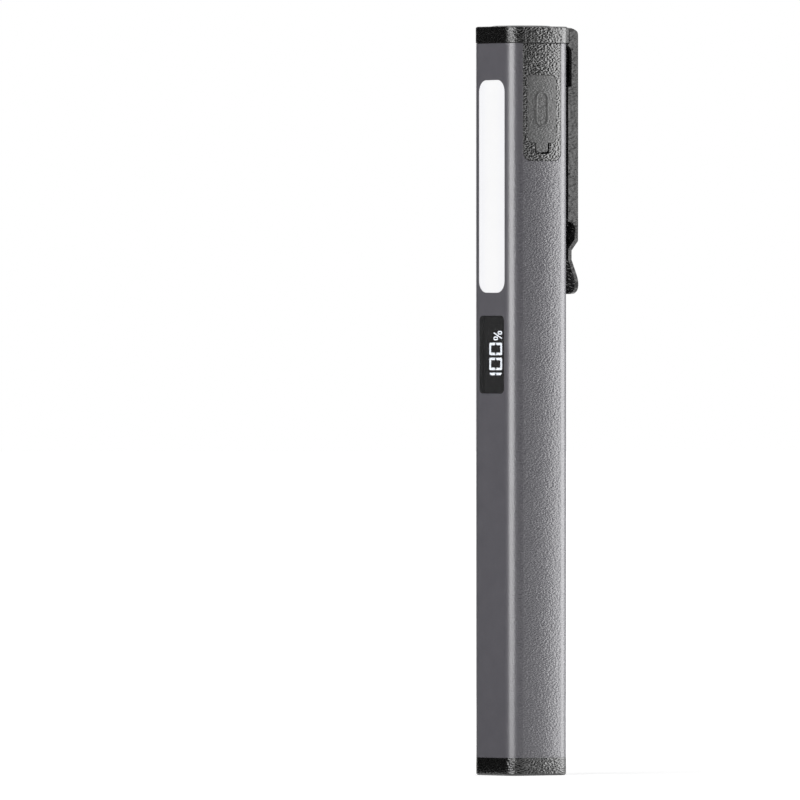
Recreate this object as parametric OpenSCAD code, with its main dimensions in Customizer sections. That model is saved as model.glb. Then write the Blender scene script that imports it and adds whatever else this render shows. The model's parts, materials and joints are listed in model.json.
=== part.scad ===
// Rechargeable work penlight: a square aluminium tube with a flood light and a charge display
// on its front, a covered charging port on its right, a power button on its left, a torch in
// its head end and a spring clip on its back.
// X runs across the front with the port at +X, the front faces -Y and Z is up.
// The origin is the centre of the flat tail face.

/* [Tube] */
// Whole length, from the tail face to the torch ring
total_len = 160; // [152:1:180]
// Width of the tube across its front
tube_w = 14.7; // [14.3:0.1:16]
// Depth of the tube from front to back
tube_d = 15.8; // [15.4:0.1:17]
// Outer corner radius of the tube
corner_r = 2.85; // [2:0.05:3.1]
// Inner corner radius of the tube
inner_r = 1; // [0.8:0.05:1.1]
// Wall of the tube
wall = 1.2; // [1:0.05:1.3]

/* [Head cap] */
// Height of the head cap's rim above its gasket
head_h = 3.5; // [3.2:0.1:5]
// How far the head cap stands proud of the tube's front and sides
head_proud = 0.1; // [0:0.05:0.3]
// How far the head cap stands proud of the tube's back, where the clip roots
head_back = 0.43; // [0.2:0.01:0.8]
// Thickness of the gasket under the head cap
gasket_t = 0.15; // [0.1:0.05:0.3]
// Rounding of the head cap's top edge
head_edge_r = 0.35; // [0.1:0.05:0.6]

/* [Torch] */
// Diameter of the ring round the torch lens
ring_d = 12.6; // [12:0.1:12.8]
// How far the ring stands above the head cap
ring_proud = 0.15; // [0:0.05:0.4]
// Height of the ring
ring_h = 1.25; // [1:0.05:1.4]
// Diameter of the torch lens where it widens most
torch_d = 8.6; // [8:0.1:9]
// Diameter of the torch lens at its narrow end
torch_neck_d = 4.6; // [4:0.1:5.2]
// Diameter of the torch board
torch_board_d = 8; // [7.4:0.1:8.4]

/* [Flood light] */
// Width of the flood light's window
flood_w = 9.05; // [8.4:0.05:9.2]
// Length of the flood light's window
flood_len = 45.4; // [40:0.2:48]
// Corner radius of the flood light's window
flood_r = 2.56; // [1:0.02:4]
// Distance of the window from the tube's head end
flood_drop = 7.8; // [7:0.1:12]
// Width of the strip of LEDs
strip_w = 6; // [4:0.1:6.6]

/* [Display] */
// Width of the display window
display_w = 8.74; // [7:0.02:9]
// Length of the display window
display_len = 16.6; // [15:0.1:19]
// Corner radius of the display window
display_r = 1.1; // [0.4:0.1:2]
// Bar of tube between the flood light's window and the display's
display_gap = 4.9; // [4:0.1:8]
// Height of a digit
digit_h = 4.4; // [3.5:0.1:5.2]
// Width of a digit
digit_w = 2.65; // [2.4:0.05:2.9]
// Width of a lit segment
segment_w = 0.54; // [0.3:0.02:0.7]
// Spacing of the digits
digit_pitch = 3.2; // [3.1:0.05:3.6]

/* [Side panels] */
// Width of the panels let into the tube's sides
panel_w = 10.05; // [9.4:0.05:10.4]
// Height of the panels below the tube's head end
panel_h = 25; // [24:0.1:30]
// Radius of the panels' lower corners
panel_r = 1.9; // [0.5:0.1:3]
// Distance of the port's and the button's centre from the tube's head end
port_drop = 14; // [13.5:0.1:14.6]

/* [Port cover] */
// Width of the rubber port cover
cover_w = 7.46; // [6.6:0.02:8]
// Height of the rubber port cover
cover_h = 14.4; // [12.5:0.1:15.5]
// Corner radius of the rubber port cover
cover_r = 1.2; // [0.6:0.1:2]
// Thickness of the rubber port cover
cover_t = 1; // [0.8:0.05:1.05]
// Width of its pull tab
tab_w = 3.1; // [2.4:0.1:4]
// Length of its pull tab
tab_len = 2; // [1.4:0.1:2.2]
// Length of the charging socket's mouth
socket_len = 8.94; // [8.4:0.02:9]
// Thickness of the charging socket
socket_t = 3.2; // [3:0.02:3.3]

/* [Button] */
// Width of the power button
button_w = 4; // [3.4:0.1:4]
// Height of the power button
button_h = 9.6; // [8:0.1:10.4]
// How far the power button stands out of its panel
button_proud = 0.5; // [0.3:0.05:0.8]
// Travel of the power button
button_travel = 0.35; // [0.2:0.05:0.35]

/* [Clip] */
// Width of the folded clip
clip_w = 11.6; // [10.6:0.1:12]
// Thickness of the clip's steel
clip_t = 0.9; // [0.7:0.05:1]
// How far the clip's outer face stands behind the tube
clip_stand = 3.57; // [3.4:0.01:4.2]
// Length of the clip below the top of the head cap
clip_len = 57.05; // [52:0.05:64]
// Width of the tongue below the clip's flanges
tongue_w = 10.1; // [8.4:0.1:10.2]
// Gap between the tube and the clip's nose
nose_gap = 0.93; // [0.5:0.01:1.2]
// Gap between the tube and the upper flange edges
upper_gap = 1.28; // [0.9:0.01:1.5]
// Gap between the tube and the lower flange edges
lower_gap = 0.35; // [0.2:0.01:0.8]

/* [Cell] */
// Diameter of the rechargeable cell
cell_d = 10.4; // [9.5:0.1:10.6]

/* [Tail cap] */
// Height of the tail cap below the tube
tail_h = 3.8; // [3:0.1:6]
// Rounding of the tail cap's bottom edge
tail_edge_r = 0.45; // [0.1:0.05:0.8]
// Diameter of the tail magnet
magnet_d = 10; // [8:0.1:10.2]
// Thickness of the tail magnet
magnet_t = 2; // [1:0.1:2.4]

/* [Hidden] */
$fn = 64;

// Clearances
seat_gap = 0.05;
slide_gap = 0.1;
clip_clear = 0.3;
root_clear = 0.18;
groove = 0.1;
end_gap = 0.3;
cut = 0.5;

// The tube and its two ends
half_w = tube_w / 2;
half_d = tube_d / 2;
in_w = tube_w - 2 * wall;
in_d = tube_d - 2 * wall;
plug_w = in_w - 2 * slide_gap;
plug_d = in_d - 2 * slide_gap;
plug_r = inner_r - seat_gap;
head_top = total_len - ring_proud;
head_base = head_top - head_h;
tube_top = head_base - gasket_t;
tube_base = tail_h;

// Head cap's plug, with the torch in it
plug_h = 4;
plug_base = head_base - plug_h;
ring_base = total_len - ring_h;
torch_board_t = 1;
led_size = 2.4;
led_t = 0.8;
lens_flange_d = torch_d + 1.4;
lens_flange_t = 0.8;
lens_base = plug_base + torch_board_t + led_t + slide_gap;

// Layers behind the front windows, counted back from the tube's front wall
flange_t = 0.8;
flange_lip = 0.8;
front_flange_w = in_w - 2 * inner_r - slide_gap;
frame_t = 1.2;
board_t = 1;
strip_t = 0.5;
spreader_t = 1;
flange_front = -in_d / 2 + seat_gap;
flange_back = flange_front + flange_t;
frame_front = flange_back + seat_gap;
frame_back = frame_front + frame_t;
frame_side = 0.7;
frame_end = 1;
strip_end = 1.7;
board_inset = 0.3;
cob_front = frame_back + seat_gap;
cob_back = cob_front + board_t;
spreader_front = cob_back + seat_gap;
spreader_back = spreader_front + spreader_t;
spreader_side = 1.2;
spreader_drop = 2;
pin_d = 0.8;
pin_x = 1.5;

// Windows
flood_top = tube_top - flood_drop;
flood_mid = flood_top - flood_len / 2;
flood_base = flood_top - flood_len;
display_top = flood_base - display_gap;
display_mid = display_top - display_len / 2;
display_base = display_top - display_len;
lens_recess = 0.05;
pin_z = flood_base + spreader_drop;
digit_t = 0.05;
block_inset = 0.25;
block_front = flange_back + seat_gap + digit_t;

// Side panels: an outer plate in the wall and a wider flange inside
panel_base = tube_top - panel_h;
panel_flange_t = 0.8;
panel_flange_w = in_d - 2 * inner_r - slide_gap;
panel_flange_x = in_w / 2 - seat_gap - panel_flange_t;
panel_lip = 0.8;
port_z = tube_top - port_drop;
inner_reach = panel_flange_x - slide_gap;
panel_step_z = panel_base - panel_lip - end_gap;

// Port cover and charging socket
cover_top = port_z + cover_h / 2;
cover_base = port_z - cover_h / 2;
cover_floor = half_w - cover_t - seat_gap;
socket_depth = 7.3;
socket_wall = 0.3;
socket_front = cover_floor - slide_gap;
socket_back = socket_front - socket_depth;
socket_setback = 1;
tab_r = 0.6;
anchor_w = 2.6;
anchor_t = 1;
anchor_drop = 0.8;

// Main board and what carries it
main_front = socket_t / 2 + seat_gap;
main_back = main_front + board_t;
main_half_w = inner_reach;
main_base = display_base + 1;
carrier_top = plug_base - end_gap;
carrier_lip = 1.5;
main_top = carrier_top - carrier_lip;
carrier_front = main_back + seat_gap;
carrier_wall = 1.2;
carrier_base = main_base - 0.5;
board_screw_d = 1.5;
board_screw_head_d = 2.6;
board_screw_head_t = 0.7;
board_screw_len = 2;
board_screw_drop = 11;
screw_zs = [(display_top + flood_base - spreader_drop) / 2, panel_base - board_screw_drop];

// Button and switch
button_flange = 0.4;
button_back = inner_reach - button_flange - seat_gap;
switch_front = button_back - button_travel - slide_gap;
switch_len = switch_front + socket_back - 2 * slide_gap;
switch_h = 4.6;
switch_half_w = 1.9;
plunger_d = 1.8;
plunger_len = 1;

// Boss on the head cap's back, inside the clip's fold
boss_half_w = clip_w / 2 - clip_t - clip_clear;
boss_drop = 3.9;
boss_rise = 1.3;
boss_step = 0.5;
boss_back = half_d + clip_stand - clip_t - clip_clear;
screw_z = head_base - boss_drop / 2;
screw_x = 2.3;
screw_d = 2;
screw_head_d = 3.7;
screw_head_t = 0.75;
screw_sink = 0.5;

// Clip
clip_drop = 0.15;
clip_top = head_top - clip_drop;
clip_base = head_top - clip_len;
clip_out = half_d + clip_stand;
clip_in = clip_out - clip_t;
clip_edge_r = 1.1;
clip_top_r = 2.75;
clip_fillet_r = 1.8;
clip_fillet_drop = 2.15;
clip_fillet_z = head_base - clip_fillet_drop;
clip_nib = 0.15;
flange_step = 9.3;
flange_step_z = head_base - flange_step;
root_front = half_d + head_back + root_clear;
bend_rise = 11.4;
bend_z = clip_base + bend_rise;
scoop_rise = 1.7;
scoop_z = bend_z + scoop_rise;
nose_rise = 9.45;
nose_z = clip_base + nose_rise;
flare_rise = 7.23;
flare_z = clip_base + flare_rise;
tongue_flare = 22.8;
tongue_r = 4;

// Cell, cradle and tail
skin = 0.8;
tail_plug_h = 5.2;
tail_plug_top = tube_base + tail_plug_h;
cradle_base = tail_plug_top + end_gap;
cradle_top = carrier_base - end_gap;
cradle_end = 1.2;
nickel_t = 0.2;
nickel_w = 3;
nickel_rise = 0.6;
cell_base = cradle_base + cradle_end + 1.2;
cell_top = cradle_top - cradle_end - 3.8;
cell_len = cell_top - cell_base;
lead_d = 1;
lead_x = 2.5;
lead_y = main_back + lead_d / 2 + seat_gap;
seal_groove = 0.75;
seal_h = 1;
seal_z = tube_base + 1.6;

// Shared shapes

// Rectangle with true arcs at its corners, which a narrow one limits to its own half width
module rounded_rect(w, h, r) {
    arc = min(r, w / 2 - 0.01, h / 2 - 0.01);
    square([w - 2 * arc, h], center = true);
    square([w, h - 2 * arc], center = true);
    for (x = [-1, 1], y = [-1, 1])
        translate([x * (w / 2 - arc), y * (h / 2 - arc)])
            circle(arc);
}

// Upright block with rounded corners, from z0 to z1
module upright(w, d, r, z0, z1) {
    translate([0, 0, z0])
        linear_extrude(z1 - z0)
            rounded_rect(w, d, r);
}

// Rounded plate that faces the front, from y0 back to y1
module front_plate(w, h, r, y0, y1, z) {
    translate([0, y1, z])
        rotate([90, 0, 0])
            linear_extrude(y1 - y0)
                rounded_rect(w, h, r);
}

// Rounded plate that faces the right, from x0 out to x1
module side_plate(w, h, r, x0, x1, z) {
    translate([x0, 0, z])
        rotate([90, 0, 90])
            linear_extrude(x1 - x0)
                rounded_rect(w, h, r);
}

// Plain box between two corners
module box(low, high) {
    translate(low)
        cube(high - low);
}

// Round bar along Y, from y0 to y1
module bar_y(d, x, z, y0, y1) {
    translate([x, y1, z])
        rotate([90, 0, 0])
            cylinder(d = d, h = y1 - y0);
}

// Round bar along X, from x0 to x1
module bar_x(d, y, z, x0, x1) {
    translate([x0, y, z])
        rotate([0, 90, 0])
            cylinder(d = d, h = x1 - x0);
}

// Upright block whose top edge is rounded over, as one hull of stepped slices
module crowned_block(w, d, r, h, edge) {
    steps = 4;
    slice = 0.01;
    hull() {
        linear_extrude(slice)
            rounded_rect(w, d, r, $fn = 48);
        for (i = [0:steps])
            let (a = 90 * i / steps, inset = edge * (1 - cos(a)))
                translate([0, 0, h - edge + edge * sin(a) - slice])
                    linear_extrude(slice)
                        rounded_rect(w - 2 * inset, d - 2 * inset, r - inset, $fn = 48);
    }
}

// Tube

module panel_notch(side) {
    notch_w = panel_w + 2 * groove;
    mirror([side < 0 ? 1 : 0, 0, 0])
        translate([half_w - wall - cut, 0, 0])
            rotate([90, 0, 90])
                linear_extrude(wall + 2 * cut)
                    panel_outline(notch_w, groove, tube_top + cut);
}

// Outline of a side panel, square at its top and rounded at its lower corners
module panel_outline(w, spread, top) {
    base = panel_base - spread;
    translate([-w / 2, base + panel_r])
        square([w, top - base - panel_r]);
    translate([-w / 2 + panel_r, base])
        square([w - 2 * panel_r, panel_r + seat_gap]);
    for (side = [-1, 1])
        translate([side * (w / 2 - panel_r), base + panel_r])
            circle(panel_r);
}

module body_tube() {
    color([0.36, 0.36, 0.38])
        difference() {
            upright(tube_w, tube_d, corner_r, tube_base, tube_top);
            upright(in_w, in_d, inner_r, tube_base - cut, tube_top + cut);
            front_plate(flood_w, flood_len, flood_r, -half_d - cut, -in_d / 2 + cut, flood_mid);
            front_plate(display_w, display_len, display_r, -half_d - cut, -in_d / 2 + cut, display_mid);
            panel_notch(1);
            panel_notch(-1);
        }
}

// Head end

module head_cap() {
    rim_w = tube_w + 2 * head_proud;
    rim_d = tube_d + head_proud + head_back;
    rim_y = (head_back - head_proud) / 2;
    color([0.1, 0.1, 0.1])
        difference() {
            union() {
                translate([0, rim_y, head_base])
                    crowned_block(rim_w, rim_d, corner_r + head_proud, head_h, head_edge_r);
                upright(2 * inner_reach, plug_d, plug_r, plug_base, head_base + cut);
                box([-boss_half_w, half_d - wall, head_base],
                    [boss_half_w, boss_back - boss_step, head_base + boss_rise]);
                box([-boss_half_w, half_d + slide_gap, head_base - boss_drop],
                    [boss_half_w, boss_back, head_base + cut]);
            }
            translate([0, 0, ring_base])
                cylinder(d = ring_d + slide_gap, h = ring_h);
            translate([0, 0, ring_base - lens_flange_t - seat_gap])
                cylinder(d = lens_flange_d + 2 * slide_gap, h = ring_h);
            translate([0, 0, lens_base - slide_gap])
                cylinder(d1 = torch_neck_d + 4 * slide_gap, d2 = torch_d + 4 * slide_gap,
                    h = ring_base - lens_flange_t - lens_base + slide_gap);
            translate([0, 0, plug_base - cut])
                cylinder(d = torch_board_d + 2 * slide_gap, h = torch_board_t + seat_gap + cut);
            translate([0, 0, plug_base])
                cylinder(d = torch_neck_d, h = lens_base - plug_base);
            for (x = [-screw_x, screw_x])
                bar_y(screw_d + 2 * seat_gap, x, screw_z, half_d, clip_out);
        }
}

module head_gasket() {
    inset = 0.1;
    color([0.06, 0.06, 0.06])
        difference() {
            upright(tube_w - 2 * inset, tube_d - 2 * inset, corner_r - inset, tube_top, head_base);
            upright(in_w, in_d, inner_r, tube_top - cut, head_base + cut);
        }
}

module torch_ring() {
    opening_d = torch_d;
    bevel = 0.3;
    color([0.12, 0.12, 0.12])
        translate([0, 0, ring_base])
            rotate_extrude()
                polygon([[opening_d / 2, 0], [ring_d / 2, 0], [ring_d / 2, ring_h - bevel / 2],
                    [ring_d / 2 - bevel / 2, ring_h], [opening_d / 2 + bevel, ring_h],
                    [opening_d / 2, ring_h - bevel]]);
}

// Clear collimator: a cone with a pocket for the LED, a flange and a low dome
module torch_lens() {
    flange_base = ring_base - lens_flange_t;
    dome_h = 0.6;
    pocket_wall = 0.8;
    pocket_h = 1.4;
    dome_r = torch_d / 2 - slide_gap;
    sphere_r = (dome_r * dome_r + dome_h * dome_h) / (2 * dome_h);
    color([0.85, 0.9, 0.95])
        difference() {
            union() {
                translate([0, 0, lens_base])
                    cylinder(d1 = torch_neck_d, d2 = torch_d, h = flange_base - lens_base);
                translate([0, 0, flange_base])
                    cylinder(d = lens_flange_d, h = lens_flange_t - seat_gap);
                intersection() {
                    translate([0, 0, ring_base + dome_h - sphere_r])
                        sphere(sphere_r);
                    translate([0, 0, flange_base + seat_gap])
                        cylinder(r = dome_r, h = ring_h + lens_flange_t);
                }
            }
            translate([0, 0, lens_base - cut])
                cylinder(d = torch_neck_d - 2 * pocket_wall, h = cut + pocket_h);
        }
}

module torch_led() {
    color([0.95, 0.85, 0.35])
        box([-led_size / 2, -led_size / 2, plug_base + torch_board_t],
            [led_size / 2, led_size / 2, lens_base - slide_gap]);
}

module torch_board() {
    color([0.9, 0.9, 0.88])
        translate([0, 0, plug_base])
            cylinder(d = torch_board_d, h = torch_board_t);
}

module torch_leads() {
    spread = 1.6;
    wire_d = 0.8;
    joint_len = 4;
    color([0.7, 0.1, 0.1])
        for (x = [-spread, spread])
            translate([x, main_back + wire_d / 2 + seat_gap, main_top - joint_len])
                cylinder(d = wire_d, h = plug_base - main_top + joint_len);
}

// Flood light

module flood_lens() {
    lens_wall = 1.1;
    color([0.97, 0.97, 0.98])
        window_plug(flood_w, flood_len, flood_r, flood_mid)
            front_plate(flood_w - 2 * lens_wall, flood_len - 2 * lens_wall, flood_r,
                -half_d + lens_wall, flange_back + cut, flood_mid);
}

// Pane that fills a front window flush, with a flange behind the wall; children are cut out
module window_plug(w, h, r, z) {
    difference() {
        union() {
            front_plate(w - 2 * seat_gap, h - 2 * seat_gap, r - seat_gap,
                -half_d + lens_recess, flange_back - seat_gap, z);
            front_plate(front_flange_w, h + 2 * flange_lip, inner_r, flange_front, flange_back, z);
        }
        children();
    }
}

module flood_frame() {
    color([0.93, 0.93, 0.92])
        difference() {
            front_plate(front_flange_w, flood_len + 2 * flange_lip, inner_r,
                frame_front, frame_back, flood_mid);
            front_plate(strip_w + 2 * frame_side, flood_len - 2 * frame_end, frame_end,
                frame_front - cut, frame_back + cut, flood_mid);
        }
}

module flood_strip() {
    color([0.95, 0.85, 0.35])
        front_plate(strip_w, flood_len - 2 * strip_end, frame_side,
            cob_front - strip_t, cob_front, flood_mid);
}

module flood_board() {
    color([0.85, 0.85, 0.86])
        front_plate(front_flange_w - 2 * board_inset, flood_len + 2 * flange_lip, board_inset,
            cob_front, cob_back, flood_mid);
}

// Two contact pins that join the flood light's board to the main board
module flood_pins() {
    color([0.85, 0.7, 0.3])
        for (x = [-pin_x, pin_x])
            bar_y(pin_d, x, pin_z, cob_back + seat_gap, main_front - seat_gap);
}

// Aluminium channel behind the flood light's board; its flanges stand on the main board
module heat_spreader() {
    web_base = flood_base - spreader_drop;
    web_top = flood_top + flange_lip + 1;
    color([0.75, 0.76, 0.78])
        difference() {
            union() {
                box([-inner_reach, spreader_front, web_base],
                    [inner_reach, spreader_back, web_top]);
                for (side = [0, 1])
                    mirror([side, 0, 0])
                        box([inner_reach - spreader_side, spreader_front, web_base],
                            [inner_reach, main_front - seat_gap, panel_step_z]);
            }
            for (x = [-pin_x, pin_x])
                bar_y(2 * pin_d, x, pin_z, spreader_front - cut, spreader_back + cut);
        }
}

// Display

module display_window() {
    color([0.13, 0.13, 0.14])
        window_plug(display_w, display_len, display_r, display_mid);
}

module display_block() {
    color([0.1, 0.1, 0.11])
        front_plate(display_w - 2 * block_inset, display_len - 2 * block_inset, 0.3,
            block_front, main_front - seat_gap, display_mid);
}

// Nought of a segment display: a ring whose long sides are split at their middle
module nought() {
    difference() {
        rounded_rect(digit_w, digit_h, 0.3);
        rounded_rect(digit_w - 2 * segment_w, digit_h - 2 * segment_w, 0.1);
        segment_split();
        mirror([1, 0])
            segment_split();
    }
}

// Gap between the upper and lower segment of a side, open towards the figure's inside
module segment_split() {
    outer = digit_w / 2 + slide_gap;
    inner = digit_w / 2 - segment_w - slide_gap;
    hair = 0.04;
    mouth = 0.42;
    polygon([[inner, -mouth], [outer, -hair], [outer, hair], [inner, mouth]]);
}

// One: the right-hand side of a nought, mitred at its ends
module one() {
    half_w = digit_w / 2;
    half_h = digit_h / 2;
    intersection() {
        nought();
        polygon([[half_w, -half_h], [half_w, half_h], [half_w - segment_w, half_h - segment_w],
            [half_w - segment_w, segment_w - half_h]]);
    }
}

// Per cent sign on the figures' base line: a slash between two small noughts
module per_cent() {
    sign_w = 2;
    sign_h = 2.95;
    small_w = 0.82;
    small_h = 1.5;
    stroke = 0.27;
    slash_len = 3;
    slash_lean = 67;
    translate([0, (sign_h - digit_h) / 2]) {
        rotate(slash_lean)
            square([slash_len, stroke], center = true);
        for (side = [-1, 1])
            translate([-side * (sign_w - small_w) / 2, side * (sign_h - small_h) / 2])
                difference() {
                    rounded_rect(small_w, small_h, small_w / 2);
                    rounded_rect(small_w - 2 * stroke, small_h - 2 * stroke, small_w / 2 - stroke);
                }
    }
}

// The figures read upwards, with their tops to the left
module display_digits() {
    first = display_mid - 1.62 * digit_pitch;
    color([1, 1, 1])
        translate([0, block_front, 0])
            rotate([90, 0, 0])
                linear_extrude(digit_t) {
                    translate([0, first])
                        rotate(90)
                            one();
                    for (i = [1, 2])
                        translate([0, first + i * digit_pitch])
                            rotate(90)
                                nought();
                    translate([0, first + 2.89 * digit_pitch])
                        rotate(90)
                            per_cent();
                }
}

// Main board

module circuit_board() {
    notch_h = button_h + 2.4;
    color([0.05, 0.25, 0.12])
        difference() {
            box([-main_half_w, main_front, main_base], [main_half_w, main_back, main_top]);
            box([-main_half_w - cut, main_front - cut, port_z - notch_h / 2],
                [-switch_front, main_back + cut, port_z + notch_h / 2]);
            for (z = screw_zs)
                bar_y(board_screw_d + 2 * slide_gap, 0, z, main_front - cut, main_back + cut);
        }
}

// Charger chip, driver chips, coil and capacitors on the back of the board. Each row gives the
// place across and up from a point of the board, then the width, length and thickness, in fifths
// of the board's half width.
module board_components() {
    unit = main_half_w / 5;
    at_port = [[2.2, -9, 3, 3, 0.9], [-2, -14, 3.6, 3.6, 1.6], [2.6, -4, 1.6, 1, 0.8],
        [0, -4, 1.6, 1, 0.8]];
    at_pins = [[2, 2.5, 4, 5, 1.2], [-2.4, 0.5, 1.6, 0.8, 0.8], [-2.4, 3.5, 1.6, 0.8, 0.8]];
    color([0.12, 0.12, 0.13]) {
        for (c = at_port * unit)
            component(c, port_z);
        for (c = at_pins * unit)
            component(c, pin_z);
    }
}

module component(c, z) {
    box([c[0] - c[2] / 2, main_back, z + c[1] - c[3] / 2],
        [c[0] + c[2] / 2, main_back + c[4], z + c[1] + c[3] / 2]);
}

module board_screws() {
    recess_t = 0.4;
    head_front = main_front - seat_gap - board_screw_head_t;
    color([0.7, 0.7, 0.72])
        for (z = screw_zs)
            difference() {
                union() {
                    bar_y(board_screw_d, 0, z, main_front - seat_gap,
                        carrier_front + board_screw_len);
                    bar_y(board_screw_head_d, 0, z, head_front, main_front - seat_gap);
                }
                cross_recess(board_screw_head_d, 0, z, head_front - cut, head_front + recess_t);
            }
}

// Cross that a driver fits in, sunk into a screw's head from y0 to y1
module cross_recess(head_d, x, z, y0, y1) {
    long = 0.55 * head_d / 2;
    short = 0.16 * head_d / 2;
    box([x - long, y0, z - short], [x + long, y1, z + short]);
    box([x - short, y0, z - long], [x + short, y1, z + long]);
}

// Plastic channel behind the main board: rails, back wall, ribs and screw bosses
module board_carrier() {
    wall_y = plug_d / 2 - carrier_wall;
    neck_z = panel_step_z - carrier_wall;
    ribs = 6;
    rib_t = 0.8;
    pitch = (carrier_top - carrier_base) / (ribs + 1);
    boss_d = board_screw_d + 1.9;
    color([0.2, 0.2, 0.21]) {
        difference() {
            intersection() {
                union() {
                    upright(plug_w, plug_d, plug_r, carrier_base, panel_step_z);
                    upright(2 * inner_reach, plug_d, plug_r, carrier_base, carrier_top);
                }
                box([-half_w, carrier_front, carrier_base], [half_w, half_d, carrier_top]);
            }
            carrier_hollow(carrier_base - cut, neck_z, plug_w / 2 - carrier_wall, wall_y);
            carrier_hollow(neck_z - cut, carrier_top + cut, inner_reach - carrier_wall, wall_y);
        }
        for (z = screw_zs)
            difference() {
                bar_y(boss_d, 0, z, carrier_front, wall_y + seat_gap);
                bar_y(board_screw_d + 2 * seat_gap, 0, z, carrier_front - cut,
                    carrier_front + board_screw_len + seat_gap);
            }
        for (i = [1:ribs])
            box([-inner_reach + carrier_wall / 2, wall_y - rib_t, carrier_base + i * pitch - rib_t / 2],
                [inner_reach - carrier_wall / 2, wall_y + seat_gap, carrier_base + i * pitch + rib_t / 2]);
    }
}

module carrier_hollow(z0, z1, half, wall_y) {
    box([-half, carrier_front - cut, z0], [half, wall_y, z1]);
}

// Charging port

// Panel let into the right or left side: plate in the wall with a flange behind it
module side_panel() {
    top = tube_top - seat_gap;
    translate([panel_flange_x + seat_gap, 0, 0])
        rotate([90, 0, 90])
            linear_extrude(half_w - panel_flange_x - seat_gap)
                panel_outline(panel_w, 0, top);
    translate([panel_flange_x, 0, 0])
        box([0, -panel_flange_w / 2, panel_base - panel_lip],
            [panel_flange_t, panel_flange_w / 2, top]);
}

module port_panel() {
    notch_gap = 0.4;
    color([0.1, 0.1, 0.1])
        difference() {
            side_panel();
            side_plate(cover_w + 2 * groove, cover_h + 2 * groove, cover_r + groove,
                cover_floor, half_w + cut, port_z);
            side_plate(tab_w + 2 * notch_gap, 2 * (tab_len + notch_gap), tab_r,
                cover_floor, half_w + cut, cover_base);
            side_plate(socket_t + 2 * slide_gap, socket_len + 2 * slide_gap, socket_t / 2 + slide_gap,
                panel_flange_x - cut, half_w, port_z);
            side_plate(anchor_w + 2 * slide_gap, anchor_t + 2 * slide_gap, anchor_t / 2,
                panel_flange_x - cut, half_w - cut, cover_top - anchor_drop);
        }
}

// Rubber cover with a pull tab below and a low stopper behind that enters the socket
module port_cover() {
    stopper_len = socket_len - 1.5;
    stopper_t = socket_t - 1.2;
    stopper_reach = 0.55;
    color([0.42, 0.42, 0.42])
        union() {
            side_plate(cover_w, cover_h, cover_r, cover_floor + seat_gap, half_w, port_z);
            side_plate(tab_w, 2 * tab_len, tab_r, cover_floor + seat_gap, half_w, cover_base);
            side_plate(stopper_t, stopper_len, stopper_t / 2,
                socket_front - stopper_reach, cover_floor + 2 * seat_gap, port_z);
        }
}

// Root of the cover's strap, held behind the panel by its head
module cover_anchor() {
    z = cover_top - anchor_drop;
    head_t = 0.5;
    head_over = 0.4;
    color([0.35, 0.35, 0.35])
        union() {
            side_plate(anchor_w, anchor_t, anchor_t / 2 - slide_gap,
                panel_flange_x - head_t / 2, cover_floor, z);
            side_plate(anchor_w + head_over, anchor_t + 2 * head_over, head_over,
                panel_flange_x - seat_gap - head_t, panel_flange_x - seat_gap, z);
        }
}

module socket_shell() {
    color([0.8, 0.8, 0.82])
        difference() {
            side_plate(socket_t, socket_len, socket_t / 2, socket_back, socket_front, port_z);
            side_plate(socket_t - 2 * socket_wall, socket_len - 2 * socket_wall,
                socket_t / 2 - socket_wall, socket_back - cut, socket_front + cut, port_z);
        }
}

// Insulator: a block at the back of the shell with the contact tongue in front of it
module socket_insulator() {
    block_t = socket_t - 2 * socket_wall - 2 * seat_gap;
    block_len = socket_len - 2 * socket_wall - 2 * seat_gap;
    block_deep = 1.6;
    tongue_t = 0.7;
    tongue_len = block_len - 1.5;
    color([0.08, 0.08, 0.09])
        union() {
            side_plate(block_t, block_len, block_t / 2, socket_back, socket_back + block_deep, port_z);
            side_plate(tongue_t, tongue_len, tongue_t / 2 - seat_gap,
                socket_back + block_deep / 2, socket_front - socket_setback, port_z);
        }
}

// Power switch

module switch_panel() {
    color([0.1, 0.1, 0.1])
        mirror([1, 0, 0])
            difference() {
                side_panel();
                side_plate(button_w + 2 * slide_gap, button_h + 2 * slide_gap,
                    button_w / 2 + slide_gap, panel_flange_x - cut, half_w + cut, port_z);
            }
}

module power_button() {
    lip = 0.4;
    color([0.3, 0.3, 0.31])
        mirror([1, 0, 0])
            union() {
                side_plate(button_w, button_h, button_w / 2,
                    button_back + seat_gap, half_w + button_proud, port_z);
                side_plate(button_w + 2 * lip, button_h + 2 * lip, button_w / 2 + lip,
                    button_back, button_back + button_flange, port_z);
            }
}

module switch_body() {
    color([0.15, 0.15, 0.16])
        mirror([1, 0, 0])
            difference() {
                box([switch_front - switch_len, -switch_half_w, port_z - switch_h / 2],
                    [switch_front, main_front - seat_gap, port_z + switch_h / 2]);
                bar_x(plunger_d + 2 * slide_gap, 0, port_z,
                    switch_front - plunger_len - slide_gap, switch_front + cut);
            }
}

module switch_plunger() {
    color([0.85, 0.85, 0.82])
        mirror([1, 0, 0])
            bar_x(plunger_d, 0, port_z, button_back - seat_gap - plunger_len, button_back - seat_gap);
}

// Cell

module battery_cell() {
    rim = 0.3;
    color([0.15, 0.35, 0.6])
        translate([0, 0, cell_base])
            rotate_extrude()
                polygon([[0, 0], [cell_d / 2 - rim, 0], [cell_d / 2, rim], [cell_d / 2, cell_len - rim],
                    [cell_d / 2 - rim, cell_len], [0, cell_len]]);
}

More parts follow.
